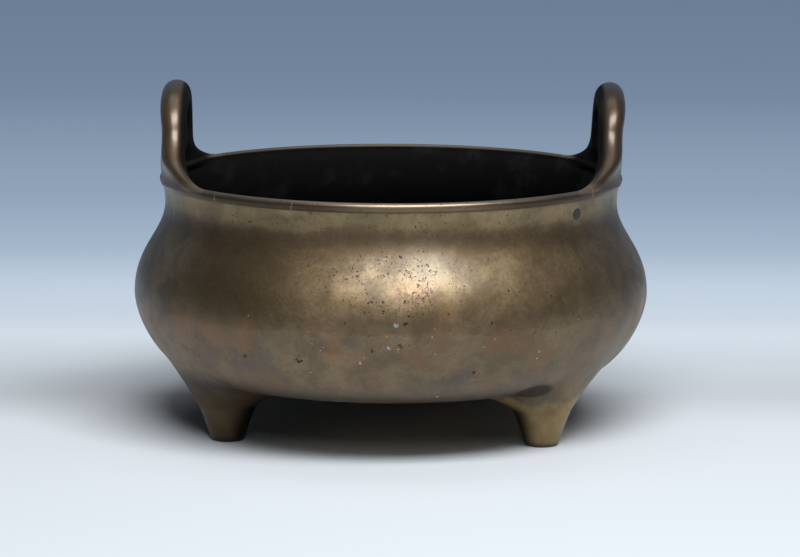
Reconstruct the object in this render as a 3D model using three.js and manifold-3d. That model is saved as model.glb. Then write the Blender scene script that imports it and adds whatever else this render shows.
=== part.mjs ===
// Tripod censer: a squat cast-bronze bowl on three tapered feet, with an upright loop handle at each side.
// Millimetres, +Z up. The origin lies on the floor, on the axis of the bowl. The front faces -Y and the
// handles stand at -X and +X. The bowl, both handles and the three feet are castings of their own, fitted
// with tenons and spigots, and a round plug closes a hole that the casting left in the neck.
import * as THREE from 'three';
import { mergeVertices } from 'three/addons/utils/BufferGeometryUtils.js';
import Module from 'manifold-3d';

// Bowl, outside
const bellyRadius = 120;
const bellyHeight = 64.8;
const neckInset = 14.6;
const undersideInset = 28;
const undersideHeight = 20.3;
const undersideRise = 7.8;
// Bowl, inside
const bowlWall = 4.8;
const floorThickness = 5.2;
// Lip, a rounded bead round the mouth
const lipHeight = 120;
const lipWidth = 4;
const lipOverhang = 2.4;
const lipRound = 2.2;
const neckDrop = 13;
const creaseDepth = 4.4;
const creaseStep = 1.2;
const throatStep = 1.4;
// Feet
const footCount = 3;
const footInset = 36.3;
const feetTurn = THREE.MathUtils.degToRad(-3.84);
const footTipRadius = 7.9;
const footTipRound = 1.2;
const footSeamRadius = 13.4;
const footSeamHeight = 16.2;
const rootMargin = 4.8;
const rootInset = 1.6;
const spigotRadius = 6;
const spigotLength = 8;
// Handles, measured up from the lip. They were finished by hand, so their rises differ a little, and so do
// the offsets by which their tops lean towards +X
const leftHandleRise = 42.6;
const rightHandleRise = 42;
const leftHandleOffset = 0.5;
const rightHandleOffset = 1.3;
const handleHalfSpan = 26;
const handleInset = 5.9;
const legWidth = 11.6;
const legDepth = 11.1;
const legTopRise = 17;
const legFullRise = 11;
const legBendRise = 17;
const archWidth = 12.3;
const archDepth = 12.5;
const openingBendRise = 13;
const openingSplayWidth = 9.8;
const openingCornerRadius = 5;
const flareTopRise = 24;
const flareLength = 18;
const flareDrop = 9;
const flareInset = 1.2;
const shoeHalfAngle = THREE.MathUtils.degToRad(38);
// Tenons under the handle shoes
const tenonAngle = THREE.MathUtils.degToRad(20);
const tenonLength = 10;
const tenonThickness = 1.2;
const tenonDepth = 4;
const tenonSetback = 1.5;
// Casting plug in the neck
const plugAngle = THREE.MathUtils.degToRad(-37.7);
const plugRise = 2.7;
const plugRadius = 2.6;
const plugTaper = 0.3;
// Fits and cuts
const fitGap = 0.3;
const cutOverrun = 5;
const weldDistance = 0.0005;

// Shares that set how full the curves are
const lowerBellyOutShare = 0.61;
const lowerBellyUpShare = 0.304;
const upperBellyUpShare = 0.485;
const upperBellyDownShare = 0.35;
const insideDropShare = 0.72;
const insideSweepShare = 0.68;
const neckFlareShare = 0.6;
const throatLowShare = 0.5;
const footWaistRadiusShare = 0.42;
const footWaistHeightShare = 0.5;
const rootRiseShare = 0.35;
const rootMeetShare = 0.8;
const rootSinkShare = 0.5;
const legBaseShare = 0.7;
const barShare = 0.7;

// Facets
const bowlSides = 56;
const profileSamples = 60;
const footSides = 24;
const rootSides = 28;
const rootRings = 7;
const rootCapRings = 3;
const archSteps = 10;
const flareSteps = 14;
const barSteps = 5;
const seatSteps = 6;
const crossSteps = 8;
const edgeSteps = 6;
const plugSides = 24;

// Places worked out from the sizes
const neckRadius = bellyRadius - neckInset;
const neckHeight = lipHeight - neckDrop;
const undersideRadius = bellyRadius - undersideInset;
const shoulderHeight = undersideHeight + undersideRise;
const footCircleRadius = bellyRadius - footInset;
const rootReach = footInset - rootMargin;
const landingCircleRadius = footCircleRadius - rootInset;
const lipOuterRadius = neckRadius + lipOverhang;
const lipInnerRadius = lipOuterRadius - lipWidth;
const lipCrestRadius = lipOuterRadius - lipWidth / 2;
const creaseHeight = lipHeight - creaseDepth;
const creaseRadius = neckRadius + creaseStep;
const lipEdgeHeight = lipHeight - lipRound;
const throatRadius = lipInnerRadius - throatStep;
const legTopHeight = lipHeight + legTopRise;
const flareTopHeight = lipHeight + flareTopRise;
const shoeReach = lipCrestRadius * shoeHalfAngle - fitGap / 2;
const plugHeight = neckHeight + plugRise;

const wasm = await Module();
wasm.setup();

// Turn a closed three.js geometry into a solid that can be joined and cut.
function solid(geometry) {
  const bare = geometry.clone();
  bare.deleteAttribute('normal');
  bare.deleteAttribute('uv');
  const merged = mergeVertices(bare, weldDistance);
  const index = Array.from(merged.index.array);
  const kept = [];
  for (let i = 0; i < index.length; i += 3) {
    const [a, b, c] = index.slice(i, i + 3);
    if (a !== b && b !== c && c !== a) kept.push(a, b, c);
  }
  return new wasm.Manifold(new wasm.Mesh({
    numProp: 3,
    vertProperties: new Float32Array(merged.attributes.position.array),
    triVerts: new Uint32Array(kept),
  }));
}

// Turn a solid back into a three.js geometry.
function surface(body) {
  const mesh = body.getMesh();
  const geometry = new THREE.BufferGeometry();
  geometry.setAttribute('position', new THREE.BufferAttribute(new Float32Array(mesh.vertProperties), 3));
  geometry.setIndex(new THREE.BufferAttribute(new Uint32Array(mesh.triVerts), 1));
  geometry.computeVertexNormals();
  return geometry;
}

// Revolve an outline of (radius, height) points about the Z axis.
function revolve(points, sides) {
  return new THREE.LatheGeometry(points, sides).rotateX(Math.PI / 2);
}

// Skin a list of rings of equal length, and close both ends with a fan.
function skin(rings) {
  const sides = rings[0].length;
  const centre = (ring) => ring.reduce((sum, p) => sum.add(p), new THREE.Vector3()).divideScalar(sides);
  const points = [...rings.flat(), centre(rings[0]), centre(rings[rings.length - 1])];
  const first = rings.length * sides;
  const faces = [];
  for (let j = 0; j < sides; j += 1) {
    const next = (j + 1) % sides;
    for (let i = 0; i + 1 < rings.length; i += 1) {
      const low = i * sides;
      const high = low + sides;
      faces.push(low + j, low + next, high + next, low + j, high + next, high + j);
    }
    const last = (rings.length - 1) * sides;
    faces.push(first, next, j, first + 1, last + j, last + next);
  }
  const geometry = new THREE.BufferGeometry().setFromPoints(points);
  geometry.setIndex(faces);
  return geometry;
}

// Add a sheet of equal lines of points to a mesh, turned over where asked.
function addSheet(points, faces, lines, turned) {
  const first = points.length;
  const width = lines[0].length;
  points.push(...lines.flat());
  for (let i = 0; i + 1 < lines.length; i += 1) {
    for (let j = 0; j + 1 < width; j += 1) {
      const a = first + i * width + j;
      const [b, c, d] = [a + 1, a + width + 1, a + width];
      if (turned) faces.push(a, c, b, a, d, c);
      else faces.push(a, b, c, a, c, d);
    }
  }
}

// Underside and lower belly: a shallow dish that turns up through the shoulder to the widest point.
function undersideCurve() {
  return new THREE.QuadraticBezierCurve(
    new THREE.Vector2(0, undersideHeight),
    new THREE.Vector2(undersideRadius / 2, undersideHeight),
    new THREE.Vector2(undersideRadius, shoulderHeight),
  );
}

function lowerBellyCurve() {
  const run = (bellyRadius - undersideRadius) * lowerBellyOutShare;
  const climb = run * (undersideRise / (undersideRadius / 2));
  return new THREE.CubicBezierCurve(
    new THREE.Vector2(undersideRadius, shoulderHeight),
    new THREE.Vector2(undersideRadius + run, shoulderHeight + climb),
    new THREE.Vector2(bellyRadius, bellyHeight - (bellyHeight - shoulderHeight) * lowerBellyUpShare),
    new THREE.Vector2(bellyRadius, bellyHeight),
  );
}

// Upper belly: an S-curve from the widest point in to the neck, drawn at a set depth inside the outer skin.
function upperBellyCurve(depth) {
  const rise = neckHeight - bellyHeight;
  return new THREE.CubicBezierCurve(
    new THREE.Vector2(bellyRadius - depth, bellyHeight),
    new THREE.Vector2(bellyRadius - depth, bellyHeight + rise * upperBellyUpShare),
    new THREE.Vector2(neckRadius - depth, neckHeight - rise * upperBellyDownShare),
    new THREE.Vector2(neckRadius - depth, neckHeight),
  );
}

// Neck: it flares to a crease under the lip.
function neckCurve() {
  return new THREE.QuadraticBezierCurve(
    new THREE.Vector2(neckRadius, neckHeight),
    new THREE.Vector2(neckRadius, neckHeight + (creaseHeight - neckHeight) * neckFlareShare),
    new THREE.Vector2(creaseRadius, creaseHeight),
  );
}

// Lip: a bead of elliptic arcs from the crease out to its edge, over the crest and in to its inner edge.
function lipCurves() {
  const step = lipOuterRadius - creaseRadius;
  return [
    new THREE.EllipseCurve(creaseRadius, lipEdgeHeight, step, lipEdgeHeight - creaseHeight, -Math.PI / 2, 0),
    new THREE.EllipseCurve(lipCrestRadius, lipEdgeHeight, lipWidth / 2, lipRound, 0, Math.PI),
  ];
}

// Throat: straight from the inner edge of the lip to the level of the crease, and then a curve down to the
// inside of the neck.
function throatCurves() {
  const insideRadius = neckRadius - bowlWall;
  const slope = throatStep / (lipEdgeHeight - creaseHeight);
  const drop = (creaseHeight - neckHeight) * throatLowShare;
  return [
    new THREE.LineCurve(
      new THREE.Vector2(lipInnerRadius, lipEdgeHeight),
      new THREE.Vector2(throatRadius, creaseHeight),
    ),
    new THREE.CubicBezierCurve(
      new THREE.Vector2(throatRadius, creaseHeight),
      new THREE.Vector2(throatRadius - (slope * drop) / 2, creaseHeight - drop / 2),
      new THREE.Vector2(insideRadius, neckHeight + drop),
      new THREE.Vector2(insideRadius, neckHeight),
    ),
  ];
}

// Inside of the lower belly and floor: one smooth sweep down to the middle.
function insideFloorCurve() {
  const floorHeight = undersideHeight + floorThickness;
  const insideRadius = bellyRadius - bowlWall;
  return new THREE.CubicBezierCurve(
    new THREE.Vector2(insideRadius, bellyHeight),
    new THREE.Vector2(insideRadius, bellyHeight - (bellyHeight - floorHeight) * insideDropShare),
    new THREE.Vector2(insideRadius * insideSweepShare, floorHeight),
    new THREE.Vector2(0, floorHeight),
  );
}

// The whole outline of the shell, from the middle of the underside round the lip to the middle of the floor.
function shellOutline() {
  const [lipUnder, lipTop] = lipCurves();
  const [throatTop, throat] = throatCurves();
  const steps = [
    [undersideCurve(), 4],
    [lowerBellyCurve(), 9],
    [upperBellyCurve(0), 8],
    [neckCurve(), 3],
    [lipUnder, 3],
    [lipTop, 8],
    [throatTop, 1],
    [throat, 3],
    [upperBellyCurve(bowlWall), 7, true],
    [insideFloorCurve(), 9],
  ];
  const points = [];
  for (const [curve, count, backwards] of steps) {
    const run = curve.getPoints(count);
    if (backwards) run.reverse();
    if (points.length) run.shift();
    points.push(...run);
  }
  return points;
}

// Height and slope of the bowl's outer skin under the belly, at a distance from the axis.
function undersideAt(radius) {
  const under = undersideCurve().getPoints(profileSamples);
  const points = [...under, ...lowerBellyCurve().getPoints(profileSamples).slice(1)];
  const k = points.findIndex((p, i) => i > 0 && p.x >= radius);
  const [a, b] = [points[k - 1], points[k]];
  const slope = (b.y - a.y) / (b.x - a.x);
  return { height: a.y + (radius - a.x) * slope, slope };
}

// Where a foot stands: its angle about the bowl's axis, before all three are turned together.
function footAngle(k) {
  return THREE.MathUtils.degToRad(90) + (k * 2 * Math.PI) / footCount;
}

// Slope of the foot's side, as radius gained per height, where it meets its root.
function footSeamSlope() {
  return (1 - footWaistRadiusShare) / (1 - footWaistHeightShare)
    * ((footSeamRadius - footTipRadius) / (footSeamHeight - footTipRound));
}

// Foot: a turned cone with a hollow side, a rounded tip and a spigot that stands up into the bowl.
function footOutline() {
  const shoulder = footSeamHeight - fitGap / 2;
  const rise = footSeamHeight - footTipRound;
  const side = new THREE.QuadraticBezierCurve(
    new THREE.Vector2(footTipRadius, footTipRound),
    new THREE.Vector2(
      footTipRadius + (footSeamRadius - footTipRadius) * footWaistRadiusShare,
      footTipRound + rise * footWaistHeightShare,
    ),
    new THREE.Vector2(footSeamRadius, footSeamHeight),
  );
  const round = new THREE.QuadraticBezierCurve(
    new THREE.Vector2(footTipRadius - footTipRound, 0),
    new THREE.Vector2(footTipRadius - footTipRound * footSeamSlope(), 0),
    new THREE.Vector2(footTipRadius, footTipRound),
  );
  const sidePoints = side.getPoints(7);
  sidePoints[sidePoints.length - 1].set(footSeamRadius - (fitGap / 2) * footSeamSlope(), shoulder);
  return [
    new THREE.Vector2(0, 0),
    ...round.getPoints(3),
    ...sidePoints.slice(1),
    new THREE.Vector2(spigotRadius, shoulder),
    new THREE.Vector2(spigotRadius, shoulder + spigotLength),
    new THREE.Vector2(0, shoulder + spigotLength),
  ];
}

// Root of a foot: a flare that leaves the top of the foot along its side and lands on the bowl along the
// bowl's own slope, so that foot and belly run into each other without an edge. It leans in a little towards
// the middle of the bowl.
function rootRing(angle, share) {
  const start = footSeamHeight + fitGap / 2;
  const startRadius = footSeamRadius + (fitGap / 2) * footSeamSlope();
  const ring = [];
  for (let j = 0; j < rootSides; j += 1) {
    const turn = (j * 2 * Math.PI) / rootSides;
    const out = new THREE.Vector2(Math.cos(turn), Math.sin(turn));
    const landing = new THREE.Vector2(landingCircleRadius + rootReach * out.x, rootReach * out.y);
    const under = undersideAt(landing.length());
    const slope = (under.slope * landing.dot(out)) / landing.length();
    const chord = Math.hypot(rootReach - startRadius, under.height - start);
    const leave = new THREE.Vector2(footSeamSlope(), 1).normalize().multiplyScalar(chord * rootRiseShare);
    const meet = new THREE.Vector2(1, slope).normalize().multiplyScalar(chord * rootMeetShare);
    const curve = new THREE.CubicBezierCurve(
      new THREE.Vector2(startRadius, start),
      new THREE.Vector2(startRadius, start).addScaledVector(leave, 1 / 3),
      new THREE.Vector2(rootReach, under.height).addScaledVector(meet, -1 / 3),
      new THREE.Vector2(rootReach, under.height),
    );
    const place = curve.getPoint(share);
    const centre = footCircleRadius - (rootInset * (place.x - startRadius)) / (rootReach - startRadius);
    ring.push(new THREE.Vector3(centre + place.x * out.x, place.x * out.y, place.y));
  }
  return ring.map((p) => p.applyAxisAngle(new THREE.Vector3(0, 0, 1), angle));
}

// Ring inside the bowl's wall, from which the root is closed.
function rootCapRing(angle, share) {
  const ring = [];
  for (let j = 0; j < rootSides; j += 1) {
    const turn = (j * 2 * Math.PI) / rootSides;
    const reach = rootReach * share;
    const plan = new THREE.Vector3(landingCircleRadius + reach * Math.cos(turn), reach * Math.sin(turn), 0);
    const height = undersideAt(plan.length()).height + bowlWall * rootSinkShare;
    ring.push(plan.setZ(height).applyAxisAngle(new THREE.Vector3(0, 0, 1), angle));
  }
  return ring;
}

function footRoot(angle) {
  const rings = [];
  for (let i = 0; i <= rootRings; i += 1) rings.push(rootRing(angle, i / rootRings));
  for (let i = rootCapRings; i > 0; i -= 1) rings.push(rootCapRing(angle, i / rootCapRings));
  return skin(rings);
}

// Share of the full thickness at a distance inside an edge that is rounded with a radius.
function rounded(distance, radius) {
  const rest = 1 - Math.min(1, distance / radius);
  return Math.sqrt(1 - rest * rest);
}

// Edge along two curves that follow each other, finely stepped, with the places where lines of the skin leave
// it: archSteps of them along the first curve and flareSteps along the second.
function sampledEdge([first, second]) {
  const fine = [
    ...first.getSpacedPoints(archSteps * edgeSteps),
    ...second.getSpacedPoints(flareSteps * edgeSteps).slice(1),
  ];
  return { fine, leaves: fine.filter((_, i) => i % edgeSteps === 0) };
}

// Each handle is drawn flat first, with s along the lip from its middle and z up, one half at a time. Half
// of the opening's edge: over the arch, down the leg, and round the corner to the lip.
function openingCurves(height) {
  const side = handleHalfSpan - legWidth / 2;
  const bend = lipHeight + openingBendRise;
  return [
    new THREE.EllipseCurve(0, bend, side, height - archWidth - bend, Math.PI / 2, 0, true),
    new THREE.CubicBezierCurve(
      new THREE.Vector2(side, bend),
      new THREE.Vector2(side, lipHeight + openingCornerRadius),
      new THREE.Vector2(side + openingSplayWidth, lipHeight),
      new THREE.Vector2(side - openingCornerRadius, lipHeight),
    ),
  ];
}

// Half of the outer edge: over the arch and down the flare to the lip.
function ridgeCurves(height) {
  const side = handleHalfSpan + legWidth / 2;
  return [
    new THREE.EllipseCurve(0, flareTopHeight, side, height - flareTopHeight, Math.PI / 2, 0, true),
    new THREE.CubicBezierCurve(
      new THREE.Vector2(side, flareTopHeight),
      new THREE.Vector2(side, flareTopHeight - flareDrop),
      new THREE.Vector2(shoeReach - flareLength, lipHeight),
      new THREE.Vector2(shoeReach, lipHeight),
    ),
  ];
}

function distanceTo(place, edge) {
  let nearest = Infinity;
  for (let i = 0; i + 1 < edge.length; i += 1) {
    const run = edge[i + 1].clone().sub(edge[i]);
    const along = place.clone().sub(edge[i]).dot(run) / run.lengthSq();
    const foot = edge[i].clone().addScaledVector(run, THREE.MathUtils.clamp(along, 0, 1));
    nearest = Math.min(nearest, foot.distanceTo(place));
  }
  return nearest;
}

// How far a place on the drawing has grown from lip (0) to leg (1).
function growth(place) {
  const { lerp, smootherstep } = THREE.MathUtils;
  const side = handleHalfSpan + legWidth / 2;
  const along = smootherstep(shoeReach - place.x, 0, shoeReach - side);
  const base = legBaseShare * smootherstep(place.x, handleHalfSpan * barShare, side);
  return along * lerp(base, 1, smootherstep(place.y, lipHeight, lipHeight + legFullRise));
}

// Depths of the inner and the outer face at a place on the drawing, from the circle of the lip's crest. Both
// faces thin out to nothing at the opening and at the ridge. Under the lip's edge they run back to the crease
// outside and to the throat inside.
function faceDepths(place, drawing) {
  const { lerp, smootherstep } = THREE.MathUtils;
  const grown = growth(place);
  const arch = smootherstep(place.y, legTopHeight, drawing.height - archWidth / 2);
  const thick = lerp(lerp(lipWidth, legDepth, grown), archDepth, arch);
  const radius = lerp(lipRound, legWidth / 2, grown);
  const atOpening = rounded(distanceTo(place, drawing.opening.fine), radius);
  const half = (thick / 2) * atOpening * rounded(distanceTo(place, drawing.ridge.fine), radius);
  const low = 1 - smootherstep(place.y, lipHeight, legTopHeight);
  const shift = ((archDepth - legDepth) / 2) * arch - flareInset * grown * low;
  const under = Math.max(0, (lipEdgeHeight - place.y) / (lipEdgeHeight - creaseHeight));
  return [
    lerp(shift - half, throatRadius - lipCrestRadius, under),
    lerp(creaseRadius - lipCrestRadius, shift + half, rounded(1 - under, 1)),
  ];
}

// Bend the flat drawing: it follows the round lip at the bottom and lies in one upright plane higher up,
// which leans outwards a little.
function bendHandle(s, depth, z, lean) {
  const share = THREE.MathUtils.smootherstep(z, lipHeight, lipHeight + legBendRise);
  const turn = s / lipCrestRadius;
  const round = new THREE.Vector3(
    (lipCrestRadius + depth) * Math.cos(turn),
    (lipCrestRadius + depth) * Math.sin(turn),
    z,
  );
  const outwards = lipCrestRadius - handleInset + depth + (lean * (z - lipHeight)) / leftHandleRise;
  return round.lerp(new THREE.Vector3(outwards, s, z), share);
}

// Lines of places across half of the drawing. Those of the loop run from the opening to the ridge, and the
// last of them lies along the lip. Those of the base run from there, and from the lip's crest below the
// opening, down to the seat. Places lie closer together towards a rounded edge.
function drawingLines(drawing) {
  const eased = (i, count) => (1 - Math.cos((i * Math.PI) / count)) / 2;
  const late = (i, count) => 1 - Math.cos((i * Math.PI) / (2 * count));
  const line = (from, to, count, share) => Array.from({ length: count + 1 }, (_, i) => (
    from.clone().lerp(to, share(i, count))));
  const [near, far] = [drawing.opening.leaves, drawing.ridge.leaves];
  const loop = near.map((place, k) => line(place, far[k], crossSteps, eased));
  const corner = near[near.length - 1];
  const bar = line(new THREE.Vector2(0, lipHeight), corner, barSteps, (i, count) => i / count);
  const tops = [...bar, ...loop[loop.length - 1].slice(1)];
  const seat = creaseHeight + fitGap / 2;
  const base = tops.map((top) => line(top, new THREE.Vector2(top.x, seat), seatSteps, late));
  return { loop, base };
}

// Handle with its shoe, as one closed skin round the opening: the drawing's lines give an outer and an inner
// face, and short walls close the seat and both ends.
function handleSkin(rise, lean) {
  const height = lipHeight + rise;
  const opening = sampledEdge(openingCurves(height));
  const ridge = sampledEdge(ridgeCurves(height));
  opening.fine.push(new THREE.Vector2(0, lipHeight));
  const drawing = { height, opening, ridge };
  const { loop, base } = drawingLines(drawing);
  const points = [];
  const faces = [];
  for (const side of [1, -1]) {
    const [inside, outside] = [0, 1].map((which) => (lines) => lines.map((places) => places.map((place) => (
      bendHandle(side * place.x, faceDepths(place, drawing)[which], place.y, lean)))));
    const end = base.length - 1;
    const seat = [inside(base), outside(base)].map((lines) => lines.map((places) => places[seatSteps]));
    const wall = [inside([base[end]])[0], outside([base[end]])[0]];
    addSheet(points, faces, outside(loop), side > 0);
    addSheet(points, faces, inside(loop), side < 0);
    addSheet(points, faces, outside(base), side < 0);
    addSheet(points, faces, inside(base), side > 0);
    addSheet(points, faces, seat, side < 0);
    addSheet(points, faces, wall, side > 0);
  }
  const geometry = new THREE.BufferGeometry().setFromPoints(points);
  geometry.setIndex(faces);
  return geometry;
}

// Sector of the rim that makes room for a handle shoe: an upright wedge that opens from the axis.
function rimSector() {
  const floor = creaseHeight - fitGap / 2;
  const far = lipOuterRadius + cutOverrun;
  const half = shoeHalfAngle + fitGap / 2 / lipCrestRadius;
  const shape = new THREE.Shape([
    new THREE.Vector2(0, 0),
    new THREE.Vector2(far, -far * Math.tan(half)),
    new THREE.Vector2(far, far * Math.tan(half)),
  ]);
  const height = lipHeight + cutOverrun - floor;
  const wedge = new THREE.ExtrudeGeometry(shape, { depth: height, bevelEnabled: false });
  return solid(wedge.translate(0, 0, floor));
}

// Tenon under a shoe, which starts a little inside it, or with a clearance the slot for it in the rim.
function tenon(angle, clearance) {
  const bottom = creaseHeight - tenonDepth - clearance;
  const top = creaseHeight + 2 * fitGap;
  const block = new THREE.BoxGeometry(
    tenonThickness + 2 * clearance,
    tenonLength + 2 * clearance,
    top - bottom,
  );
  return solid(block.translate(neckRadius - tenonSetback, 0, (top + bottom) / 2).rotateZ(angle));
}

// Handle casting: the loop, the stretch of lip that it grows from, and two tenons.
function handle(rise, lean) {
  let body = solid(handleSkin(rise, lean));
  for (const side of [-1, 1]) body = body.add(tenon(side * tenonAngle, 0));
  return body;
}

// Plug: a short tapered pin set through the wall of the neck, or with a clearance the hole for it.
function plugPin(clearance, overrun) {
  const length = bowlWall + 2 * overrun;
  const middle = plugRadius - plugTaper / 2 + clearance;
  const swell = (plugTaper / bowlWall) * (length / 2);
  const pin = new THREE.CylinderGeometry(middle + swell, middle - swell, length, plugSides);
  return pin.rotateZ(-Math.PI / 2).translate(neckRadius - bowlWall / 2, 0, 0);
}

// Socket in a root for the spigot of its foot.
function footSocket(angle) {
  const radius = spigotRadius + fitGap;
  const top = footSeamHeight + spigotLength + fitGap / 2;
  const length = spigotLength + fitGap + cutOverrun;
  const socket = new THREE.CylinderGeometry(radius, radius, length, footSides);
  return solid(socket.rotateX(Math.PI / 2).translate(footCircleRadius, 0, top - length / 2).rotateZ(angle));
}

// Bowl casting: the shell with its three roots, opened for the feet, the handles and the plug.
function bowl(shell) {
  const angles = Array.from({ length: footCount }, (_, k) => footAngle(k) + feetTurn);
  let body = shell;
  for (const angle of angles) body = body.add(solid(footRoot(angle)));
  for (const angle of angles) body = body.subtract(footSocket(angle));
  for (const facing of [0, Math.PI]) {
    const spin = (part) => part.rotate([0, 0, THREE.MathUtils.radToDeg(facing)]);
    body = body.subtract(spin(rimSector()));
    for (const side of [-1, 1]) body = body.subtract(spin(tenon(side * tenonAngle, fitGap)));
  }
  return body.subtract(solid(plugPin(fitGap, cutOverrun).rotateZ(plugAngle).translate(0, 0, plugHeight)));
}

function bronze(colour, roughness) {
  return new THREE.MeshStandardMaterial({ color: colour, roughness, metalness: 0.9 });
}

function piece(name, geometry, material) {
  const mesh = new THREE.Mesh(geometry, material);
  mesh.name = name;
  return mesh;
}

const censer = new THREE.Group();
const shell = solid(revolve(shellOutline(), bowlSides));

censer.add(piece('bowl', surface(bowl(shell)), bronze(0x6a5b44, 0.4)));

const handles = [
  ['handle_right', 0, rightHandleRise, rightHandleOffset],
  ['handle_left', Math.PI, leftHandleRise, -leftHandleOffset],
];
for (const [name, facing, rise, lean] of handles) {
  const mesh = piece(name, surface(handle(rise, lean)), bronze(0x574a3b, 0.34));
  mesh.rotation.z = facing;
  censer.add(mesh);
}

const feet = new THREE.Group();
feet.rotation.z = feetTurn;
['foot_rear', 'foot_front_left', 'foot_front_right'].forEach((name, k) => {
  const mesh = piece(name, revolve(footOutline(), footSides), bronze(0x6f5f3d, 0.45));
  mesh.position.set(footCircleRadius * Math.cos(footAngle(k)), footCircleRadius * Math.sin(footAngle(k)), 0);
  feet.add(mesh);
});
censer.add(feet);

const plug = piece('neck_plug', plugPin(0, 0), bronze(0x4f514b, 0.5));
plug.rotation.z = plugAngle;
plug.position.z = plugHeight;
censer.add(plug);

export default censer;
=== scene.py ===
"""A squat tripod censer in old cast bronze: a bulging bowl on three tapered feet, with two upright loop
handles that grow out of the rolled lip. Metres, +Z up, the front towards -Y, the handles at -X and +X."""

import bpy
import numpy as np
from mathutils import Matrix, Vector


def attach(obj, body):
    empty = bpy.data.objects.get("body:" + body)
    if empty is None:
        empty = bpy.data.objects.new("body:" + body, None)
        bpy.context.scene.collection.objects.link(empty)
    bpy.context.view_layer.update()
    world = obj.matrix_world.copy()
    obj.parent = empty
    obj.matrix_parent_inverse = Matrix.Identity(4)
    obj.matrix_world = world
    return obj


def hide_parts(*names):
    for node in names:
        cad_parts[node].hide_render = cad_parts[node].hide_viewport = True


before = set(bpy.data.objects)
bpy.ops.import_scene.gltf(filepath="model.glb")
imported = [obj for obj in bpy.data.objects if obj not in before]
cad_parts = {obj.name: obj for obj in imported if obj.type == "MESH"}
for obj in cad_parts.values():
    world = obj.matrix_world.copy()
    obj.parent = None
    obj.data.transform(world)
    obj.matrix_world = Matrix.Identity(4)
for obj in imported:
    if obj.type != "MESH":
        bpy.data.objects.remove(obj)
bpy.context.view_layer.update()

# Camera and view.
# The photograph was taken from a little above the rim with a long lens, so the mouth shows as a narrow
# ellipse and the feet stand almost side by side.
CAMERA_TARGET = (0.0, 0.0, 0.0704)
CAMERA_DISTANCE = 1.643
CAMERA_ELEVATION = np.radians(9.24)
CAMERA_ROLL = np.radians(0.2)
SENSOR_WIDTH_MM = 36.0
LENS_MM = 157.5
LENS_SHIFT = (0.0115, -0.0026)
CLIP_END = 50.0

camera_data = bpy.data.cameras.new("camera")
camera_data.sensor_width = SENSOR_WIDTH_MM
camera_data.lens = LENS_MM
camera_data.shift_x, camera_data.shift_y = LENS_SHIFT
camera_data.clip_end = CLIP_END
camera = bpy.data.objects.new("camera", camera_data)
camera.matrix_world = (
    Matrix.Translation(CAMERA_TARGET)
    @ Matrix.Rotation(np.pi / 2 - CAMERA_ELEVATION, 4, "X")
    @ Matrix.Rotation(CAMERA_ROLL, 4, "Z")
    @ Matrix.Translation((0.0, 0.0, CAMERA_DISTANCE))
)
bpy.context.scene.collection.objects.link(camera)
bpy.context.scene.camera = camera
bpy.context.scene.view_settings.view_transform = "Standard"


# Studio: a seamless sweep of pale blue-grey paper whose light is painted into it, near white under the censer
# and darker up the wall.
# A wide softbox hangs in front and above, a narrow one stands low by the camera and draws the streaks on
# the handles, and a weak one hangs overhead.
SWEEP_HALF_WIDTH = 6.0
SWEEP_FRONT = -4.0
SWEEP_BACK = 2.6
SWEEP_BEND = 1.2
SWEEP_TOP = 3.4
SWEEP_ROWS = 60
PAPER_RUN = (-0.4, 3.6)
# The paper's base colour holds painted light as well: brighter towards the censer, and dark up the wall,
# where the painted glow takes over.
PAPER_COLOURS_AND_PAINTED_LIGHT = [(0.0, (215, 223, 230)), (0.1, (229, 236, 243)), (0.17, (150, 158, 166)), (0.3, (40, 44, 48))]
PAPER_PAINTED_GLOW = [
    (0.118, (0, 0, 0)), (0.137, (118, 124, 130)), (0.16, (166, 175, 184)), (0.2, (166, 180, 196)),
    (0.235, (147, 165, 185)), (0.31, (141, 159, 181)), (0.45, (116, 134, 157)), (0.7, (90, 108, 131)),
]
ROOM_COLOUR = (190, 196, 204)
ROOM_STRENGTH = 0.07
SOFTBOXES = {
    "softbox_key": dict(size=(1.25, 0.55), place=(0.23, -0.92, 1.25), aim=(0.0, 0.0, 0.07), watts=26.0),
    "softbox_low": dict(size=(0.16, 0.45), place=(0.0, -1.02, 0.72), aim=(0.0, 0.0, 0.14), watts=1.3),
    "softbox_top": dict(size=(1.4, 0.7), place=(0.0, 0.25, 1.6), aim=(0.0, 0.05, 0.1), watts=3.0),
}
SHARP_ANGLE = np.radians(35.0)


def linear(*channels):
    """Linear colour of an 8-bit sRGB one: each channel as a share of 255, with the sRGB curve undone."""
    c = np.array(channels) / 255.0
    dark, bright = c / 12.92, ((c + 0.055) / 1.055) ** 2.4
    return (*np.where(c <= 0.04045, dark, bright).tolist(), 1.0)


def feed(tree, node, inputs):
    """Inputs of a node by name or place: a socket is linked, and a plain value is set."""
    for key, value in inputs.items():
        if isinstance(value, bpy.types.NodeSocket):
            tree.links.new(value, node.inputs[key])
        else:
            node.inputs[key].default_value = value


def put(tree, kind, inputs=None, **settings):
    """A new shader node with its settings by name and its inputs fed."""
    node = tree.nodes.new(kind)
    for key, value in settings.items():
        setattr(node, key, value)
    feed(tree, node, inputs or {})
    return node


def ramp(tree, value, stops):
    """Colour by a value: a colour ramp with stops of a place and an 8-bit colour."""
    node = put(tree, "ShaderNodeValToRGB", {0: value})
    elements = node.color_ramp.elements
    stops = [(place, linear(*colour)) for place, colour in stops]
    elements[0].position, elements[0].color = stops[0]
    elements[1].position, elements[1].color = stops[-1]
    for place, colour in stops[1:-1]:
        elements.new(place).color = colour
    return node.outputs["Color"]


def new_material(name):
    """A node material, with its tree, its Principled shader and the Object coordinates."""
    material = bpy.data.materials.new(name)
    material.use_nodes = True
    tree = material.node_tree
    shader = next(n for n in tree.nodes if n.type == "BSDF_PRINCIPLED")
    return material, tree, shader, put(tree, "ShaderNodeTexCoord").outputs["Object"]


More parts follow.
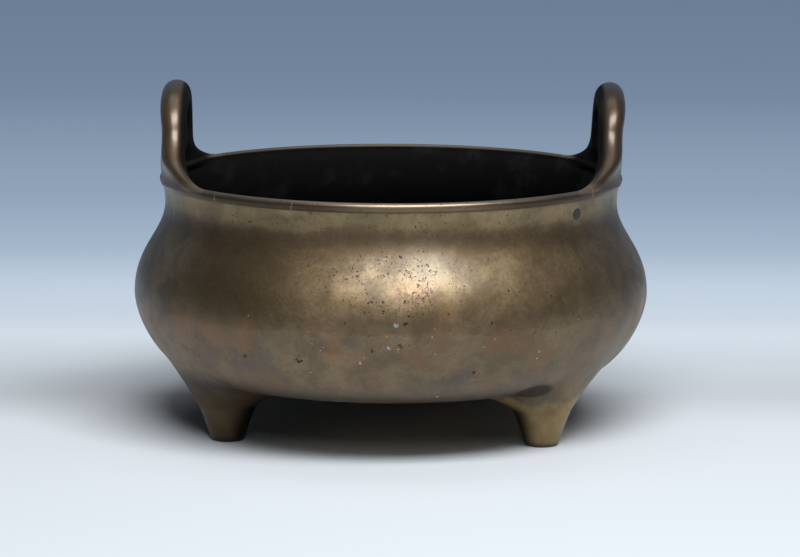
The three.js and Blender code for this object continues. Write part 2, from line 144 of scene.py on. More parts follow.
def grid_object(name, grids, material, merge=2e-6):
    """An object from (rows, columns, 3) grids of points: each cell of a grid is one face. Points closer than
    the merge distance become one, and cells that shrink to a line are left out."""
    points, faces, first = [], [], 0
    for grid in grids:
        rows, columns = grid.shape[:2]
        k = first + np.arange(rows * columns).reshape(rows, columns)
        cells = np.stack([k[:-1, :-1], k[:-1, 1:], k[1:, 1:], k[1:, :-1]], axis=-1)
        points.append(grid.reshape(-1, 3))
        faces.append(cells.reshape(-1, 4))
        first += rows * columns
    points, faces = np.concatenate(points), np.concatenate(faces)
    keys = np.round(points / merge).astype(np.int64)
    _, kept, place = np.unique(keys, axis=0, return_index=True, return_inverse=True)
    corners = [list(dict.fromkeys(face)) for face in place.reshape(-1)[faces].tolist()]
    mesh = bpy.data.meshes.new(name)
    mesh.from_pydata(points[kept].tolist(), [], [c for c in corners if len(c) > 2])
    mesh.shade_smooth()
    mesh.set_sharp_from_angle(angle=SHARP_ANGLE)
    mesh.materials.append(material)
    obj = bpy.data.objects.new(name, mesh)
    bpy.context.scene.collection.objects.link(obj)
    return obj


def sweep_grid():
    """Floor, bend and wall: a straight line back along the floor, a quarter circle and a straight line up,
    drawn out sideways."""
    turn = np.linspace(-np.pi / 2, 0.0, SWEEP_ROWS)
    bend_y = SWEEP_BACK - SWEEP_BEND + SWEEP_BEND * np.cos(turn)
    bend_z = SWEEP_BEND + SWEEP_BEND * np.sin(turn)
    y = np.concatenate([[SWEEP_FRONT], bend_y, [SWEEP_BACK]])
    z = np.concatenate([[0.0], bend_z, [SWEEP_TOP]])
    x = np.array([[-SWEEP_HALF_WIDTH], [SWEEP_HALF_WIDTH]])
    return np.stack(np.broadcast_arrays(x, y, z), axis=-1).transpose(1, 0, 2)


def sums(tree, operation, *values):
    """A chain of one arithmetic operation over values, from left to right."""
    result = values[0]
    for value in values[1:]:
        result = put(tree, "ShaderNodeMath", {0: result, 1: value}, operation=operation).outputs[0]
    return result


def split_xyz(tree, vector):
    """The three coordinates of a vector, by name."""
    return put(tree, "ShaderNodeSeparateXYZ", {0: vector}).outputs


paper, tree, shader, place = new_material("paper_sweep")
spot = split_xyz(tree, place)
run = sums(tree, "ADD", spot["Y"], spot["Z"])
share = put(tree, "ShaderNodeMapRange", {"Value": run, "From Min": PAPER_RUN[0], "From Max": PAPER_RUN[1]})
# The glow is painted light, the lit paper's brightness as it is seen and mirrored, and throws no light on the
# floor.
rays = put(tree, "ShaderNodeLightPath").outputs
seen = sums(tree, "ADD", rays["Is Camera Ray"], rays["Is Glossy Ray"], rays["Is Transmission Ray"])
feed(tree, shader, {
    "Base Color": ramp(tree, share.outputs[0], PAPER_COLOURS_AND_PAINTED_LIGHT),
    "Emission Color": ramp(tree, share.outputs[0], PAPER_PAINTED_GLOW),
    "Emission Strength": sums(tree, "MINIMUM", seen, 1.0),
    "Roughness": 0.9,
    "Specular IOR Level": 0.1,
})
sweep = grid_object("paper_sweep", [sweep_grid()], paper)

world = bpy.data.worlds.new("studio")
bpy.context.scene.world = world
world.use_nodes = True
background = world.node_tree.nodes["Background"]
background.inputs["Color"].default_value = linear(*ROOM_COLOUR)
background.inputs["Strength"].default_value = ROOM_STRENGTH


def softbox(name, size, place, aim, watts):
    """A rectangular area lamp at a place, turned to face its aim."""
    lamp = bpy.data.lights.new(name, "AREA")
    lamp.shape = "RECTANGLE"
    lamp.size, lamp.size_y = size
    lamp.energy = watts
    obj = bpy.data.objects.new(name, lamp)
    facing = (Vector(aim) - Vector(place)).to_track_quat("-Z", "Y")
    obj.matrix_world = Matrix.Translation(place) @ facing.to_matrix().to_4x4()
    obj.visible_camera = False
    bpy.context.scene.collection.objects.link(obj)


for name, box in SOFTBOXES.items():
    softbox(name, **box)


# Patina that more than one casting shares, each effect a node group: clouds, casting pits, the soot inside
# with its painted shade, golden marks across the lip where the handles join it, and the worn skin of the feet
# and roots with its painted shade.
PIT_WOBBLE = 0.0026
SOOT_AND_SHADE_TOP = (0.1205, 0.1185)
SOOT_AND_SHADE_FLOOR_TOP = (0.064, 0.058)
SEAM_MARK_ANGLES = np.radians([223.0, 246.0, 327.5])
SEAM_MARK_WANDER = 0.0024
SEAM_MARK_EDGES = (0.00045, 0.0001)
FOOT_TIP_DARK_TOP = (0.003, 0.0006)


def blend_colours(tree, share, first, second):
    """The first colour where the share is zero, the second where it is one, and their mix between."""
    return put(tree, "ShaderNodeMix", {0: share, 6: first, 7: second}, data_type="RGBA").outputs[2]


def layered(tree, ground, layers):
    """A ground colour under layers of a share and a colour, which is a socket or an 8-bit one: each covers
    what lies below it by its share."""
    for share, colour in layers:
        colour = colour if isinstance(colour, bpy.types.NodeSocket) else linear(*colour)
        ground = blend_colours(tree, share, ground, colour)
    return ground


def between(tree, value, low, high):
    """Smooth share of a value between two limits: zero at low and one at high, whichever is the larger."""
    return put(tree, "ShaderNodeMapRange", {"Value": value, "From Min": low, "From Max": high},
               interpolation_type="SMOOTHSTEP").outputs["Result"]


def times(tree, *values):
    """Product of values."""
    return sums(tree, "MULTIPLY", *values)


def one_value(tree, operation, value):
    """A value put through an operation that takes one, such as ABSOLUTE or SIGN."""
    return put(tree, "ShaderNodeMath", {0: value}, operation=operation).outputs[0]


def vectors(tree, operation, first, second):
    """Two vectors put through an operation: a number for DOT_PRODUCT and DISTANCE, and otherwise a vector."""
    node = put(tree, "ShaderNodeVectorMath", {0: first, 1: second}, operation=operation)
    return node.outputs["Value" if operation in ("DOT_PRODUCT", "DISTANCE") else "Vector"]


def noise(tree, place, scale, detail=4.0, roughness=0.5, distortion=0.0):
    """Fractal noise from about 0.2 to 0.8, with a scale in turns a metre."""
    return put(tree, "ShaderNodeTexNoise", {"Vector": place, "Scale": scale, "Detail": detail,
                                            "Roughness": roughness, "Distortion": distortion}).outputs["Fac"]


def surface_normal(tree):
    """The direction in which the surface faces."""
    return put(tree, "ShaderNodeNewGeometry").outputs["Normal"]


def outwardness(tree, place):
    """How far the surface faces away from the bowl's axis: its normal along the level direction outwards."""
    level = vectors(tree, "MULTIPLY", place, (1.0, 1.0, 0.0))
    level = put(tree, "ShaderNodeVectorMath", {0: level}, operation="NORMALIZE").outputs[0]
    return vectors(tree, "DOT_PRODUCT", level, surface_normal(tree))


def new_group(name, inputs, outputs):
    """A node group with named sockets, and its tree, its input sockets and its output sockets."""
    group = bpy.data.node_groups.new(name, "ShaderNodeTree")
    for direction, sockets in (("INPUT", inputs), ("OUTPUT", outputs)):
        for key, kind in sockets.items():
            group.interface.new_socket(key, in_out=direction, socket_type="NodeSocket" + kind)
    return group, group.nodes.new("NodeGroupInput").outputs, group.nodes.new("NodeGroupOutput").inputs


def use_group(tree, group, place, **inputs):
    """The outputs of a group that is run at a place, with its other inputs by name."""
    return put(tree, "ShaderNodeGroup", {"Vector": place, **inputs}, node_tree=group).outputs


clouds, given, made = new_group("cloudy_patina", {"Vector": "Vector"},
                                {"Broad": "Float", "Patchy": "Float", "Grain": "Float"})
place = given["Vector"]
clouds.links.new(between(clouds, noise(clouds, place, 17.0, 3.0), 0.32, 0.68), made["Broad"])
clouds.links.new(between(clouds, noise(clouds, place, 62.0, 7.0, 0.62, 0.4), 0.36, 0.66), made["Patchy"])
clouds.links.new(noise(clouds, place, 650.0, 5.0, 0.6), made["Grain"])

# Some cells of a Voronoi pattern, pushed about by noise, hold a pit of uneven size.
pits, given, made = new_group("casting_pits", {"Vector": "Vector", "Scale": "Float", "Share": "Float",
                                               "Size": "Float"}, {"Pit": "Float"})
place = given["Vector"]
wobble = put(pits, "ShaderNodeTexNoise", {"Vector": place, "Scale": 700.0, "Detail": 2.0}).outputs["Color"]
wobble = vectors(pits, "SUBTRACT", wobble, (0.5, 0.5, 0.5))
wobble = put(pits, "ShaderNodeVectorMath", {0: wobble, "Scale": PIT_WOBBLE}, operation="SCALE").outputs[0]
pushed = vectors(pits, "ADD", place, wobble)
cells = put(pits, "ShaderNodeTexVoronoi", {"Vector": pushed, "Scale": given["Scale"]})
chance = put(pits, "ShaderNodeSeparateColor", {0: cells.outputs["Color"]}).outputs
here = sums(pits, "LESS_THAN", chance["Red"], given["Share"])
reach = times(pits, given["Size"], sums(pits, "ADD", chance["Green"], 0.5))
hole = between(pits, sums(pits, "SUBTRACT", cells.outputs["Distance"], reach), 0.03, -0.03)
pits.links.new(times(pits, hole, here), made["Pit"])

# Soot, with painted shade for the dark inside, lies on walls that face the axis, up to the lip, and on the
# floor.
soot_and_shade, given, made = new_group("soot_and_shade_inside", {"Vector": "Vector"}, {"Mask": "Float", "Colour": "Color"})
place = given["Vector"]
height = split_xyz(soot_and_shade, place)["Z"]
upward = split_xyz(soot_and_shade, surface_normal(soot_and_shade))["Z"]
floor = times(soot_and_shade, between(soot_and_shade, upward, 0.2, 0.5), between(soot_and_shade, height, *SOOT_AND_SHADE_FLOOR_TOP))
wall = times(soot_and_shade, between(soot_and_shade, outwardness(soot_and_shade, place), -0.35, -0.85), between(soot_and_shade, height, *SOOT_AND_SHADE_TOP))
soot_and_shade.links.new(sums(soot_and_shade, "MAXIMUM", wall, floor), made["Mask"])
dust = between(soot_and_shade, noise(soot_and_shade, place, 36.0, 6.0, 0.66), 0.48, 0.7)
soot_and_shade.links.new(blend_colours(soot_and_shade, dust, linear(11, 11, 11), linear(30, 33, 30)), made["Colour"])

# Thin ragged marks where upright planes through the axis cut the lip.
marks, given, made = new_group("golden_seam_marks", {"Vector": "Vector"}, {"Mask": "Float"})
place = given["Vector"]
ragged = times(marks, noise(marks, place, 500.0, 3.0), SEAM_MARK_WANDER)
mark = 1.0
for turn in SEAM_MARK_ANGLES:
    aside = vectors(marks, "DOT_PRODUCT", place, (-np.sin(turn), np.cos(turn), 0.0))
    ahead = vectors(marks, "DOT_PRODUCT", place, (np.cos(turn), np.sin(turn), 0.0))
    away = sums(marks, "SUBTRACT", sums(marks, "ADD", aside, ragged), SEAM_MARK_WANDER / 2)
    away = sums(marks, "ADD", one_value(marks, "ABSOLUTE", away), between(marks, ahead, 0.06, 0.05))
    mark = sums(marks, "MINIMUM", mark, away)
marks.links.new(times(marks, between(marks, mark, *SEAM_MARK_EDGES), 0.5), made["Mask"])

# Golden where it is rubbed and darker round the tips, with painted shade on the left foot and on the sides
# that face inwards, away from the light.
worn_and_shaded, given, made = new_group("worn_and_shaded_foot", {"Vector": "Vector"}, {"Colour": "Color"})
place = given["Vector"]
spot = split_xyz(worn_and_shaded, place)
mottle = use_group(worn_and_shaded, clouds, place)
golden = blend_colours(worn_and_shaded, mottle["Broad"], linear(164, 138, 96), linear(148, 126, 86))
worn_and_shaded.links.new(layered(worn_and_shaded, golden, [
    (times(worn_and_shaded, mottle["Patchy"], 0.65), (104, 86, 60)),
    (times(worn_and_shaded, between(worn_and_shaded, spot["X"], -0.02, -0.05), 0.85), (58, 45, 32)),
    (times(worn_and_shaded, between(worn_and_shaded, outwardness(worn_and_shaded, place), 0.35, -0.5), 0.9), (26, 22, 18)),
    (times(worn_and_shaded, between(worn_and_shaded, spot["Z"], *FOOT_TIP_DARK_TOP), 0.7), (34, 28, 22)),
]), made["Colour"])


# Bowl: one heavy bronze casting with a dished underside, a bulging belly, a drawn-in neck and a rolled lip.
# Three short roots flare down out of the underside for the feet. The rim is left low at both sides, where
# the handles bring their own stretch of lip.
BELLY_RADIUS = 0.120
BELLY_HEIGHT = 0.0648
NECK_RADIUS = 0.1054
NECK_HEIGHT = 0.107
UNDERSIDE_RADIUS = 0.092
UNDERSIDE_HEIGHT = 0.0203
UNDERSIDE_RISE = 0.0078
WALL = 0.0048
FLOOR_HEIGHT = 0.0255
LIP_HEIGHT = 0.120
LIP_EDGE_HEIGHT = 0.1178
LIP_OUTER_RADIUS = 0.1078
LIP_CREST_RADIUS = 0.1058
LIP_INNER_RADIUS = 0.1038
CREASE_HEIGHT = 0.1156
CREASE_RADIUS = 0.1066
THROAT_RADIUS = 0.1024
SHOE_HALF_ANGLE = np.radians(38.0)
FOOT_CIRCLE_RADIUS = 0.0837
FEET_TURN = np.radians(-3.84)
FOOT_TIP_RADIUS = 0.0079
FOOT_TIP_ROUND = 0.0012
FOOT_SEAM_RADIUS = 0.0134
FOOT_SEAM_HEIGHT = 0.0162
ROOT_REACH = 0.0315
ROOT_INSET = 0.0016
ROOT_LEAVE = 0.35
ROOT_MEET = 0.8
PATCH_RADIUS = 0.119
PATCH_COLUMNS = 120
SEAM_STEPS = 41
UNDERSIDE_PULL = 0.61
LOWER_PULL = 0.696
UPPER_PULL = 0.485
NECK_PULL = 0.35
CREASE_PULL = 0.6
FLOOR_PULL = 0.72
FLOOR_SPREAD = 0.68
FOOT_WAIST = 0.42
FOOT_WAIST_HEIGHT = 0.5
FOOT_ANGLES = FEET_TURN + np.radians([90.0, 210.0, 330.0])


def bezier(controls, count):
    """Points along a Bezier curve: each control point weighted by its Bernstein polynomial, at even steps."""
    t = np.linspace(0.0, 1.0, count)[:, None]
    rows = [np.array(p, float) * np.ones_like(t) for p in controls]
    while len(rows) > 1:
        rows = [a * (1 - t) + b * t for a, b in zip(rows, rows[1:])]
    return rows[0]


def chain(*curves):
    """One line of points from curves that follow each other, with the shared ends kept once."""
    return np.concatenate([curves[0]] + [c[1:] for c in curves[1:]])


def lower_profile(count=160):
    """Underside and lower belly as (radius, height): a shallow dish, then a curve up to the widest point."""
    shoulder = UNDERSIDE_HEIGHT + UNDERSIDE_RISE
    run = UNDERSIDE_PULL * (BELLY_RADIUS - UNDERSIDE_RADIUS)
    climb = run * 2 * UNDERSIDE_RISE / UNDERSIDE_RADIUS
    low = shoulder + LOWER_PULL * (BELLY_HEIGHT - shoulder)
    dish = [(0, UNDERSIDE_HEIGHT), (UNDERSIDE_RADIUS / 2, UNDERSIDE_HEIGHT), (UNDERSIDE_RADIUS, shoulder)]
    belly = [dish[2], (UNDERSIDE_RADIUS + run, shoulder + climb),
             (BELLY_RADIUS, low), (BELLY_RADIUS, BELLY_HEIGHT)]
    return chain(bezier(dish, count), bezier(belly, count))


def upper_belly(depth, count):
    """Upper belly as (radius, height), at a depth inside the skin: an S-curve from the widest point to the
    neck."""
    rise = NECK_HEIGHT - BELLY_HEIGHT
    return bezier([
        (BELLY_RADIUS - depth, BELLY_HEIGHT),
        (BELLY_RADIUS - depth, BELLY_HEIGHT + UPPER_PULL * rise),
        (NECK_RADIUS - depth, NECK_HEIGHT - NECK_PULL * rise),
        (NECK_RADIUS - depth, NECK_HEIGHT),
    ], count)


def bead(centre, radii, start, end, count):
    """Elliptic arc as (radius, height): a centre plus its radii times the cosine and sine of an even turn."""
    turn = np.linspace(start, end, count)[:, None]
    return np.array(centre) + np.array(radii) * np.concatenate([np.cos(turn), np.sin(turn)], axis=1)


def throat_profile():
    """Throat as (radius, height): straight from the inner edge of the lip to the level of the crease, then a
    curve down to the inside of the neck."""
    drop = (CREASE_HEIGHT - NECK_HEIGHT) / 2
    slope = (LIP_INNER_RADIUS - THROAT_RADIUS) / (LIP_EDGE_HEIGHT - CREASE_HEIGHT)
    inside = NECK_RADIUS - WALL
    return chain(
        bezier([(LIP_INNER_RADIUS, LIP_EDGE_HEIGHT), (THROAT_RADIUS, CREASE_HEIGHT)], 4),
        bezier([(THROAT_RADIUS, CREASE_HEIGHT), (THROAT_RADIUS - slope * drop / 2, CREASE_HEIGHT - drop / 2),
                (inside, NECK_HEIGHT + drop), (inside, NECK_HEIGHT)], 10),
    )


def bowl_profile():
    """The shell as (radius, height), from the edge of the foot patches up the belly, over the lip and down
    the inside to the middle of the floor."""
    lower = lower_profile()
    length = np.r_[0.0, np.cumsum(np.hypot(*np.diff(lower, axis=0).T))]
    start = np.interp(PATCH_RADIUS, lower[:, 0], length)
    steps = np.linspace(start, length[-1], 6)
    belly = np.stack([np.interp(steps, length, lower[:, 0]), np.interp(steps, length, lower[:, 1])], axis=1)
    inner_belly = BELLY_RADIUS - WALL
    drop = BELLY_HEIGHT - FLOOR_HEIGHT
    return chain(
        belly,
        upper_belly(0.0, 26),
        bezier([(NECK_RADIUS, NECK_HEIGHT),
                (NECK_RADIUS, NECK_HEIGHT + CREASE_PULL * (CREASE_HEIGHT - NECK_HEIGHT)),
                (CREASE_RADIUS, CREASE_HEIGHT)], 8),
        bead((CREASE_RADIUS, LIP_EDGE_HEIGHT),
             (LIP_OUTER_RADIUS - CREASE_RADIUS, LIP_EDGE_HEIGHT - CREASE_HEIGHT), -np.pi / 2, 0.0, 9),
        bead((LIP_CREST_RADIUS, LIP_EDGE_HEIGHT),
             (LIP_OUTER_RADIUS - LIP_CREST_RADIUS, LIP_HEIGHT - LIP_EDGE_HEIGHT), 0.0, np.pi, 21),
        throat_profile(),
        upper_belly(WALL, 20)[::-1],
        bezier([(inner_belly, BELLY_HEIGHT), (inner_belly, BELLY_HEIGHT - FLOOR_PULL * drop),
                (FLOOR_SPREAD * inner_belly, FLOOR_HEIGHT), (0.0, FLOOR_HEIGHT)], 30),
    )


def shoe_cuts():
    """Angles at which the shoes of both handles end."""
    return np.array([-SHOE_HALF_ANGLE, SHOE_HALF_ANGLE, np.pi - SHOE_HALF_ANGLE, np.pi + SHOE_HALF_ANGLE])


def rim_angles():
    """Angles of the bowl's columns: one a degree from the seam between two foot patches, in the order of
    the patches, with the nearest ones moved onto the ends of the handle shoes."""
    angles = FOOT_ANGLES[0] - np.pi / 3 + np.radians(np.arange(3 * PATCH_COLUMNS + 1.0))
    for cut in shoe_cuts():
        turns = np.round((angles - cut) / (2 * np.pi))
        nearest = np.argmin(np.abs(angles - cut - turns * 2 * np.pi))
        angles[nearest] = cut + turns[nearest] * 2 * np.pi
    return angles


def shell_grid():
    """The shell: its profile turned about the axis. Where a shoe sits, what stands above the crease lies down
    into a flat ledge. The columns at the ends of a shoe come twice, standing and lying, so that the wall
    between them closes the cut."""
    angles = rim_angles()
    toward_x = np.abs(np.arctan2(np.sin(angles), np.abs(np.cos(angles))))
    lying = toward_x < SHOE_HALF_ANGLE - 1e-6
    ends = np.abs(toward_x - SHOE_HALF_ANGLE) < 1e-6
    opens = ends & np.r_[lying[1:], lying[:1]]
    order = np.repeat(np.arange(len(angles)), np.where(ends, 2, 1))
    second = np.r_[False, order[1:] == order[:-1]]
    flat = lying[order] | (ends[order] & (second == opens[order]))
    profile = bowl_profile()
    radius, height = (np.repeat(profile[:, k:k + 1], len(order), axis=1) for k in (0, 1))
    rows = np.flatnonzero(profile[:, 1] > CREASE_HEIGHT + 1e-7)
    first, last = rows[0] - 1, rows[-1] + 1
    share = np.linspace(0.0, 1.0, last - first + 1)[:, None]
    ledge = profile[first, 0] * (1 - share) + profile[last, 0] * share
    radius[first:last + 1] = np.where(flat, ledge, radius[first:last + 1])
    height[first:last + 1] = np.where(flat, CREASE_HEIGHT, height[first:last + 1])
    turn = angles[order]
    return np.stack([radius * np.cos(turn), radius * np.sin(turn), height], axis=-1)


def side_slope():
    """Radius that a foot gains per height where it meets its root."""
    slope = (FOOT_SEAM_RADIUS - FOOT_TIP_RADIUS) / (FOOT_SEAM_HEIGHT - FOOT_TIP_ROUND)
    return (1 - FOOT_WAIST) / (1 - FOOT_WAIST_HEIGHT) * slope


def foot_patch(number):
    """The underside about one foot, from the middle of the foot's seat out to the seams with its neighbours.
    Root: curves that leave the seat along the foot's side and land on the underside along its own slope,
    about a centre that drifts inwards on the way. Beyond the landing, points run straight to the border on a
    plan where distances from the axis are measured along the profile."""
    angles = rim_angles()[PATCH_COLUMNS * number:PATCH_COLUMNS * (number + 1) + 1]
    profile = lower_profile()
    length = np.r_[0.0, np.cumsum(np.hypot(*np.diff(profile, axis=0).T))]
    steps = np.linspace(np.interp(PATCH_RADIUS, profile[:, 0], length), 0.0, SEAM_STEPS)
    reach = np.interp(steps, length, profile[:, 0])
    radius = np.r_[np.full(len(angles), PATCH_RADIUS), reach[1:], reach[-2::-1]]
    turn = np.r_[angles, np.full(SEAM_STEPS - 1, angles[-1]), np.full(SEAM_STEPS - 1, angles[0])]
    inwards = -np.array([np.cos(FOOT_ANGLES[number]), np.sin(FOOT_ANGLES[number])])
    centre = -FOOT_CIRCLE_RADIUS * inwards
    landing_centre = centre + ROOT_INSET * inwards
    border = np.stack([radius * np.cos(turn), radius * np.sin(turn)], axis=1)
    out = (border - landing_centre) / np.linalg.norm(border - landing_centre, axis=1, keepdims=True)

    landing = landing_centre + ROOT_REACH * out
    far = np.linalg.norm(landing, axis=1)
    land_height = np.interp(far, profile[:, 0], profile[:, 1])
    spread = profile[:, 0] + 1e-9 * np.arange(len(profile))
    rise = np.interp(far, profile[:, 0], np.gradient(profile[:, 1], spread))
    slope = rise * np.sum(landing * out, axis=1) / far
    chord = np.hypot(ROOT_REACH - FOOT_SEAM_RADIUS, land_height - FOOT_SEAM_HEIGHT)[:, None]
    leave = np.array([side_slope(), 1.0]) / np.hypot(side_slope(), 1.0)
    meet = np.stack([np.ones_like(slope), slope], axis=1) / np.hypot(1.0, slope)[:, None]
    seat = np.array([FOOT_SEAM_RADIUS, FOOT_SEAM_HEIGHT]) * np.ones_like(chord)
    end = np.stack([np.full_like(land_height, ROOT_REACH), land_height], axis=1)
    controls = [seat, seat + leave * chord * ROOT_LEAVE / 3, end - meet * chord * ROOT_MEET / 3, end]
    t = np.linspace(0.0, 1.0, 18)[:, None, None]
    curve = sum(c * w * t ** k * (1 - t) ** (3 - k) for k, (c, w) in enumerate(zip(controls, (1, 3, 3, 1))))
    drift = ROOT_INSET * (curve[..., :1] - FOOT_SEAM_RADIUS) / (ROOT_REACH - FOOT_SEAM_RADIUS)
    plan = centre + drift * inwards + curve[..., :1] * out
    root = np.concatenate([plan, curve[..., 1:]], axis=-1)
    middle = np.broadcast_to(np.r_[centre, FOOT_SEAM_HEIGHT], (1, len(turn), 3))

    unrolled = np.interp(far, profile[:, 0], length)[:, None] * landing / far[:, None]
    flat_border = np.stack([np.cos(turn), np.sin(turn)], axis=1)
    flat_border = np.interp(radius, profile[:, 0], length)[:, None] * flat_border
    share = np.linspace(0.0, 1.0, 26)[1:, None, None]
    flat = unrolled * (1 - share) + flat_border * share
    along = np.linalg.norm(flat, axis=-1)
    r, z = np.interp(along, length, profile[:, 0]), np.interp(along, length, profile[:, 1])
    way = flat / np.maximum(along, 1e-9)[..., None]
    dish = np.concatenate([r[..., None] * way, z[..., None]], axis=-1)
    return np.concatenate([middle, root, dish])


# Where each part of the patina and of the painted light and shade lies: heights at which it sets in or dies
# away, and spots on the skin.
BAND_RISE = (0.105, 0.1105)
SHADE_RING_RISE, SHADE_RING_FALL = (0.093, 0.102), (0.109, 0.104)
LOW_SHADE_RING_RISE, LOW_SHADE_RING_FALL = (0.0625, 0.0645), (0.073, 0.066)
LOWER_BELLY = (0.064, 0.062)
STAIN_FALL = (0.071, 0.064)
BOTTOM_SHADE_RISE = (0.039, 0.0275)
ROOT_RISE = (0.0315, 0.022)
FLECK_RISE = (0.034, 0.042)
LIP_RISE = (0.1149, 0.1163)
CREST_RISE = (0.118, 0.1196)
LIP_PALE_X, LIP_PALE_WIDTH = 0.012, (0.015, 0.05)
OLIVE_SPOT = (-0.0735, -0.0891, 0.083)
WARM_HIGHLIGHT_SPOT = (0.0105, -0.1185, 0.0865)
SILVERY_HIGHLIGHT_SPOT = (0.017, -0.113, 0.094)
SHADE_OVER_FOOT_SPOT = (0.0635, -0.0762, 0.03041)
SWARM_SPOT = (0.003, -0.1135, 0.086)
LIP_BROWN, LIP_PALE, RUBBED_CREST_AND_HIGHLIGHT = (70, 55, 41), (112, 96, 75), (156, 142, 122)
GOLDEN_MARK = (190, 160, 104)
PALE_SPECKS = {
    (0.0023, -0.1198, 0.068): 0.0015, (-0.0009, -0.119, 0.0579): 0.0012, (-0.0133, -0.1157, 0.0508): 0.001,
    (0.065, -0.0958, 0.0493): 0.0007, (-0.0343, -0.1142, 0.0591): 0.0008, (-0.0627, -0.102, 0.0693): 0.0006,
    (0.0522, -0.1069, 0.0737): 0.0006, (0.0209, -0.1008, 0.033): 0.001, (-0.0307, -0.1144, 0.056): 0.0005,
    (-0.0352, -0.1078, 0.045): 0.0006,
}
RUSTY_STAINS = {
    (-0.094, -0.074, 0.0588): 0.01, (-0.081, -0.088, 0.058): 0.011, (-0.066, -0.1, 0.0565): 0.009,
    (0.0242, -0.1175, 0.0726): 0.0055, (-0.0255, -0.1165, 0.0545): 0.007,
}
DARK_NICKS = {
    (0.0065, -0.1196, 0.0687): 0.0014, (-0.0079, -0.1184, 0.0569): 0.0012, (0.0043, -0.1191, 0.0588): 0.0014,
    (-0.003, -0.1195, 0.0745): 0.0013, (0.0445, -0.1113, 0.0678): 0.0009, (-0.0642, -0.0969, 0.0504): 0.0014,
    (0.0366, -0.1075, 0.0452): 0.0012, (-0.0404, -0.1091, 0.0506): 0.002, (0.1051, -0.0435, 0.0456): 0.0009,
    (0.1025, -0.0081, 0.0329): 0.0008, (0.0914, -0.0137, 0.0282): 0.0008, (0.0842, -0.0486, 0.0296): 0.0009,
}


def stretched(tree, place, factor):
    """The place with its height multiplied, which flattens a pattern by that factor."""
    return vectors(tree, "MULTIPLY", place, (1.0, 1.0, factor))


def around(tree, place, spot, reach, core, flatness=1.0):
    """Share about a spot: zero beyond a reach and one inside a core, with heights multiplied by flatness."""
    centre = (spot[0], spot[1], spot[2] * flatness)
    return between(tree, vectors(tree, "DISTANCE", stretched(tree, place, flatness), centre), reach, core)


def spotted(tree, place, spots, ragged, low, high):
    """Share near any of the spots: the least distance over a spot's size, plus three times ragged noise,
    between two limits."""
    nearest = 9.0
    for spot, size in spots.items():
        distance = sums(tree, "DIVIDE", vectors(tree, "DISTANCE", place, spot), size)
        nearest = sums(tree, "MINIMUM", distance, nearest)
    return between(tree, sums(tree, "ADD", nearest, times(tree, ragged, 3.0)), low, high)


def bumped(tree, relief, strength, depth=0.001):
    """The normal of a surface with a relief of a depth in metres, weighted by a strength."""
    node = put(tree, "ShaderNodeBump", {"Height": relief, "Distance": depth, "Strength": strength})
    return node.outputs["Normal"]


bowl_bronze, tree, shader, place = new_material("bowl_bronze")
spot = split_xyz(tree, place)
height = spot["Z"]
patina = use_group(tree, clouds, place)
black = use_group(tree, soot_and_shade, place)
streaky = noise(tree, stretched(tree, place, 3.0), 60.0, 6.0, 0.6)
level = sums(tree, "ADD", height, times(tree, sums(tree, "SUBTRACT", streaky, 0.5), 0.012))

# Olive-brown ground with darker clouds and a dark olive patch at the left.
ground = blend_colours(tree, patina["Broad"], linear(146, 126, 96), linear(128, 111, 83))
olive = times(tree, around(tree, place, OLIVE_SPOT, 0.045, 0.01), 0.5)
dark = times(tree, patina["Patchy"], 0.72)
grain = times(tree, between(tree, patina["Grain"], 0.44, 0.62), 0.3)
# Golden band right under the lip, where hands have rubbed it, and painted shade in dark rings below it and
# along the widest place, where the skin mirrors no lamp.
band = times(tree, between(tree, level, *BAND_RISE), between(tree, streaky, 0.3, 0.58), 0.4)
shade_ring = times(tree, between(tree, level, *SHADE_RING_RISE), between(tree, level, *SHADE_RING_FALL), 0.5)
low_shade_ring = times(tree, between(tree, level, *LOW_SHADE_RING_RISE), between(tree, level, *LOW_SHADE_RING_FALL), 0.4)
# Duller grey-brown below the widest place, with rusty and slate-coloured stains, and painted shade along the
# bottom, on faces turned down and on the left side, away from the lamp.
lower = between(tree, level, *LOWER_BELLY)
stain = between(tree, noise(tree, place, 58.0, 9.0, 0.7, 0.3), 0.49, 0.6)
stain = times(tree, stain, between(tree, level, *STAIN_FALL), 0.52)
rust = spotted(tree, place, RUSTY_STAINS, noise(tree, place, 120.0, 6.0, 0.65), 2.7, 1.7)
slate = times(tree, between(tree, noise(tree, place, 52.0, 6.0, 0.62), 0.53, 0.64), lower, 0.45)
downward = between(tree, split_xyz(tree, surface_normal(tree))["Z"], -0.5, -0.85)
under = sums(tree, "MAXIMUM", downward, between(tree, spot["X"], 0.0, -0.03))
bottom = times(tree, between(tree, height, *BOTTOM_SHADE_RISE), under, 0.85)
# Golden roots, worn like the feet and painted with the same shade.
root = between(tree, sums(tree, "ADD", height, times(tree, patina["Patchy"], 0.004)), *ROOT_RISE)
# Brown lip, like the handles, paler in front, with a rubbed crest that carries a painted highlight, and
# golden marks at old joints.
lip = between(tree, height, *LIP_RISE)
sides = one_value(tree, "ABSOLUTE", sums(tree, "SUBTRACT", spot["X"], LIP_PALE_X))
brown = blend_colours(tree, between(tree, sides, *LIP_PALE_WIDTH), linear(*LIP_PALE), linear(*LIP_BROWN))
crest = times(tree, between(tree, height, *CREST_RISE), 0.7)
golden = times(tree, use_group(tree, marks, place)["Mask"], lip)
# A warm rubbed place on the front that also paints in the lamp's highlight, a silvery painted highlight above
# it, and painted shade in a dark oval over the right foot.
warm_rub_and_highlight = times(tree, around(tree, place, WARM_HIGHLIGHT_SPOT, 0.016, 0.004), between(tree, patina["Grain"], 0.6, 0.42),
             between(tree, streaky, 0.3, 0.6), 0.5)
silvery_highlight = times(tree, around(tree, place, SILVERY_HIGHLIGHT_SPOT, 0.018, 0.002), 0.2)
